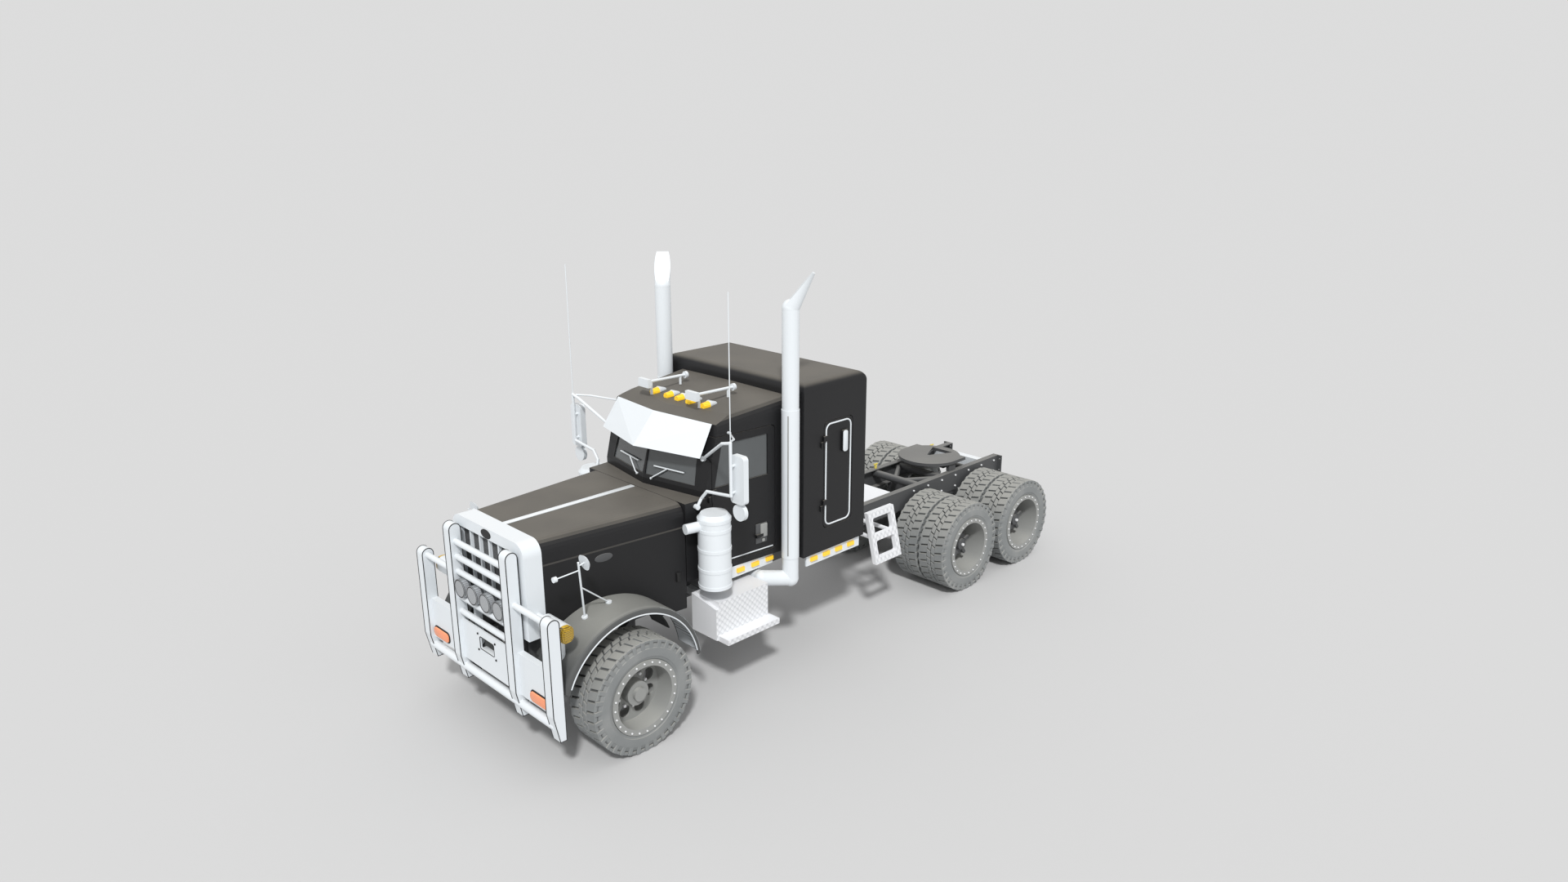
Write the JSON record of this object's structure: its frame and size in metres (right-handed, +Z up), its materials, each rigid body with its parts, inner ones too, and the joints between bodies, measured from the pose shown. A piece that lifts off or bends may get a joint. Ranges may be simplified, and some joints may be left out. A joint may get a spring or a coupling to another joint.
{
  "type": "semi truck tractor unit",
  "caption": "Long-nose road tractor with steered front axle, twin-wheel tandem, tilting hood behind a fold-down guard, cab, sleeper and fifth wheel.",
  "frame": {"origin": "on the ground under the middle of the truck's length and width", "axes": "+Z up, -Y towards the front of the truck, +X to its left side"},
  "size_m": [2.86, 7.9, 4.3064],
  "materials": {
    "frame_steel": "satin grey-black chassis paint",
    "white_paint": "bright satin white",
    "black_paint": "matte black body paint",
    "fender_paint": "matte dark grey",
    "glass": "tinted",
    "dark_plastic": "matte",
    "seat_cloth": "woven",
    "amber_lens": "ribbed lens",
    "orange_lens": "ribbed lens",
    "lamp_glass": "dark lamp glass",
    "tyre": "worn rubber",
    "rim_paint": "satin grey"
  },
  "bodies": {
    "chassis": {"frame_rails": "frame_steel", "crossmembers": "frame_steel", "rear_crossmember": "white_paint", "engine": "frame_steel", "radiator": "dark_plastic", "driveline": "frame_steel", "front_axle": "frame_steel", "suspension": "frame_steel", "rear_axles": "frame_steel", "cab_floor": "black_paint", "cab_shell": "black_paint", "cab_roof": "black_paint", "windshield": "glass", "seats": "seat_cloth", "dashboard": "dark_plastic", "visor": "white_paint", "wipers": "white_paint", "horns": "white_paint", "amber_lights": "amber_lens", "sleeper_shell": "black_paint", "sleeper_roof": "black_paint", "exhaust_stacks": "white_paint", "air_cleaners": "white_paint", "steps": "white_paint", "skirts": "white_paint", "deck_plate": "white_paint", "door_mirrors": "white_paint"},
    "hood_body": {"hood": "black_paint", "fenders": "fender_paint", "grille_shell": "white_paint", "grille_mesh": "dark_plastic", "headlights": "white_paint", "headlight_lenses": "amber_lens", "fender_mirrors": "white_paint"},
    "guard_body": {"guard": "white_paint", "guard_lamps": "lamp_glass", "guard_markers": "orange_lens"},
    "steer_knuckle_left": {"knuckle_left": "frame_steel"},
    "steer_knuckle_right": {"knuckle_right": "frame_steel"},
    "track_rod": {"tie_rod": "frame_steel"},
    "front_wheel_left": {"front_tyre_left": "tyre", "front_rim_left": "rim_paint"},
    "front_wheel_right": {"front_tyre_right": "tyre", "front_rim_right": "rim_paint"},
    "drive_wheels_left": {"drive_tyres_left": "tyre", "drive_rims_left": "rim_paint"},
    "drive_wheels_right": {"drive_tyres_right": "tyre", "drive_rims_right": "rim_paint"},
    "tag_wheels_left": {"tag_tyres_left": "tyre", "tag_rims_left": "rim_paint"},
    "tag_wheels_right": {"tag_tyres_right": "tyre", "tag_rims_right": "rim_paint"},
    "cab_door_left": {"door_left": "black_paint", "door_glass_left": "glass"},
    "cab_door_right": {"door_right": "black_paint", "door_glass_right": "glass"},
    "hatch_left": {"sleeper_door_left": "black_paint"},
    "hatch_right": {"sleeper_door_right": "black_paint"},
    "coupling_plate": {"fifth_wheel": "frame_steel"}
  },
  "joints": [
    {"name": "steer_left", "type": "hinge", "parent": "chassis", "child": "steer_knuckle_left", "pos_m": [0.85, -3.02, 0.573], "axis": [0, 0, 1], "range_deg": [-35, 35]},
    {"name": "steer_right", "type": "hinge", "parent": "chassis", "child": "steer_knuckle_right", "pos_m": [-0.85, -3.02, 0.573], "axis": [0, 0, 1], "range_deg": [-35, 35]},
    {"name": "track_rod_swing", "type": "hinge", "parent": "steer_knuckle_left", "child": "track_rod", "pos_m": [0.85, -2.82, 0.348], "axis": [0, 0, 1], "range_deg": [-35, 35]},
    {"name": "spin_front_left", "type": "hinge", "parent": "steer_knuckle_left", "child": "front_wheel_left", "pos_m": [1.085, -3.02, 0.573], "axis": [1, 0, 0], "continuous": true},
    {"name": "spin_front_right", "type": "hinge", "parent": "steer_knuckle_right", "child": "front_wheel_right", "pos_m": [-1.085, -3.02, 0.573], "axis": [1, 0, 0], "continuous": true},
    {"name": "spin_drive_left", "type": "hinge", "parent": "chassis", "child": "drive_wheels_left", "pos_m": [0.895, 2.13, 0.573], "axis": [1, 0, 0], "continuous": true},
    {"name": "spin_drive_right", "type": "hinge", "parent": "chassis", "child": "drive_wheels_right", "pos_m": [-0.895, 2.13, 0.573], "axis": [1, 0, 0], "continuous": true},
    {"name": "spin_tag_left", "type": "hinge", "parent": "chassis", "child": "tag_wheels_left", "pos_m": [0.895, 3.346, 0.573], "axis": [1, 0, 0], "continuous": true},
    {"name": "spin_tag_right", "type": "hinge", "parent": "chassis", "child": "tag_wheels_right", "pos_m": [-0.895, 3.346, 0.573], "axis": [1, 0, 0], "continuous": true},
    {"name": "hood_tilt", "type": "hinge", "parent": "chassis", "child": "hood_body", "pos_m": [0, -3.77, 0.83], "axis": [1, 0, 0], "range_deg": [0, 55]},
    {"name": "guard_fold", "type": "hinge", "parent": "chassis", "child": "guard_body", "pos_m": [0, -3.81, 0.52], "axis": [1, 0, 0], "range_deg": [0, 88]},
    {"name": "open_door_left", "type": "hinge", "parent": "chassis", "child": "cab_door_left", "pos_m": [0.85217, -1.766, 1.56], "axis": [0, 0, -1], "range_deg": [0, 60]},
    {"name": "open_door_right", "type": "hinge", "parent": "chassis", "child": "cab_door_right", "pos_m": [-0.85217, -1.766, 1.56], "axis": [0, 0, 1], "range_deg": [0, 60]},
    {"name": "open_hatch_left", "type": "hinge", "parent": "chassis", "child": "hatch_left", "pos_m": [1.131, -0.426, 1.7], "axis": [0, 0, -1], "range_deg": [0, 90]},
    {"name": "open_hatch_right", "type": "hinge", "parent": "chassis", "child": "hatch_right", "pos_m": [-1.131, -0.426, 1.7], "axis": [0, 0, 1], "range_deg": [0, 90]},
    {"name": "coupling_tilt", "type": "hinge", "parent": "chassis", "child": "coupling_plate", "pos_m": [0, 2.918, 1.235], "axis": [1, 0, 0], "range_deg": [-8, 8]}
  ],
  "couplings": [
    {"joint": "steer_right", "follows": "steer_left", "ratio": 1},
    {"joint": "track_rod_swing", "follows": "steer_left", "ratio": -1},
    {"joint": "guard_fold", "follows": "hood_tilt", "ratio": 1.6}
  ]
}
